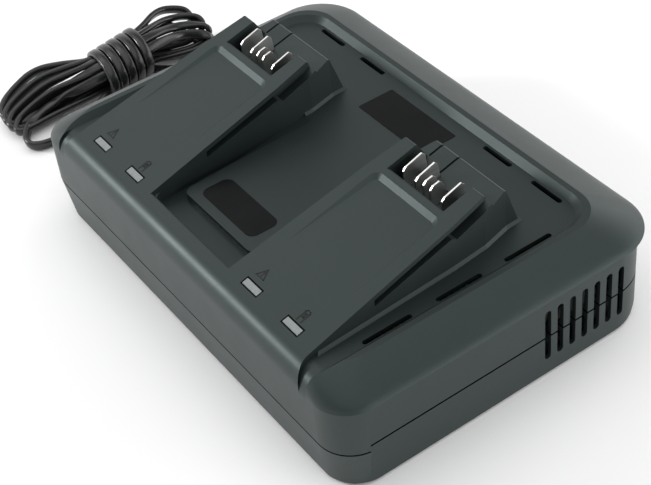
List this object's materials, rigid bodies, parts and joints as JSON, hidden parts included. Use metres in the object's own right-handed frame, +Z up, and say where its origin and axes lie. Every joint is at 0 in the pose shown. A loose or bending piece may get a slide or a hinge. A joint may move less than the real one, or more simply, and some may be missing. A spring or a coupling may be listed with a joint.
{
  "type": "power tool battery charger",
  "caption": "Low charcoal charger with sloping docks for slide-on tool batteries, upright contact blades, side vents and a mains cord tied in a hank.",
  "frame": {"origin": "bottom centre of the housing on the plane of its feet, cord left out", "axes": "+X towards the vented side, +Y towards the back, where the docks are highest, +Z up"},
  "size_m": [0.4129, 0.2084, 0.0993],
  "materials": {
    "upper_shell": "fine spark texture, charcoal",
    "lower_shell": "fine spark texture, charcoal",
    "foot_rubber": "soft black rubber",
    "screw_steel": "zinc plated",
    "plate_film": "bare black film",
    "led_resin": "clear green resin",
    "board_laminate": "green solder mask",
    "can_sleeve": "shrunk sleeve",
    "film_case": "moulded case",
    "black_moulding": "moulded epoxy",
    "socket_nylon": "natural nylon",
    "fuse_glass": "ceramic cartridge",
    "ferrite": "sintered ferrite",
    "copper_winding": "enamelled copper",
    "winding_tape": "yellow polyester tape",
    "sink_aluminium": "extruded, plain",
    "fan_plastic": "moulded black",
    "wire_black": "vinyl insulation",
    "wire_blue": "vinyl sheath",
    "wire_red": "vinyl insulation",
    "relief_rubber": "moulded soft vinyl",
    "clamp_plastic": "moulded nylon",
    "cord_sheath": "black vinyl sheath, satin",
    "plug_plastic": "moulded vinyl",
    "pin_brass": "nickel plated brass",
    "blade_metal": "bright nickel plated strip",
    "carrier_plastic": "moulded black",
    "window_lens": "smoked light pipe, pale grey"
  },
  "bodies": {
    "housing": {"badge_plate": "plate_film", "board_screws": "screw_steel", "bridge_rectifier": "black_moulding", "choke_core": "ferrite", "choke_winding": "copper_winding", "clamp_screws": "screw_steel", "control_chips": "black_moulding", "cord_clamp": "clamp_plastic", "cord_hank": "cord_sheath", "cord_lead": "cord_sheath", "dock_sockets": "socket_nylon", "fan_frame": "fan_plastic", "fan_socket": "socket_nylon", "fan_wires": "wire_black", "film_capacitor": "film_case", "fuse": "fuse_glass", "housing_screws": "screw_steel", "indicator_leds": "led_resin", "left_charge_window": "window_lens", "left_contact_carrier": "carrier_plastic", "left_display_board": "board_laminate", "left_dock_wires": "wire_red", "left_fault_window": "window_lens", "left_heat_sink": "sink_aluminium", "left_power_blades": "blade_metal", "left_signal_blades": "blade_metal", "lower_housing": "lower_shell", "main_capacitor": "can_sleeve", "main_circuit_board": "board_laminate", "mains_leads": "wire_blue", "mains_socket": "socket_nylon", "name_plate": "plate_film", "output_capacitors": "can_sleeve", "plug_body": "plug_plastic", "plug_lead": "cord_sheath", "plug_pins": "pin_brass", "power_transistors": "black_moulding", "rating_plate": "plate_film", "right_charge_window": "window_lens", "right_contact_carrier": "carrier_plastic", "right_display_board": "board_laminate", "right_dock_wires": "wire_red", "right_fault_window": "window_lens", "right_heat_sink": "sink_aluminium", "right_power_blades": "blade_metal", "right_signal_blades": "blade_metal", "rubber_feet": "foot_rubber", "strain_relief": "relief_rubber", "transformer_core": "ferrite", "transformer_winding": "winding_tape", "upper_housing": "upper_shell"},
    "fan": {"fan_rotor": "fan_plastic"}
  },
  "joints": [
    {"name": "fan_spin", "type": "hinge", "parent": "housing", "child": "fan", "pos_m": [0.1342, 0.05025, 0.0288], "axis": [1, 0, 0], "continuous": true}
  ]
}
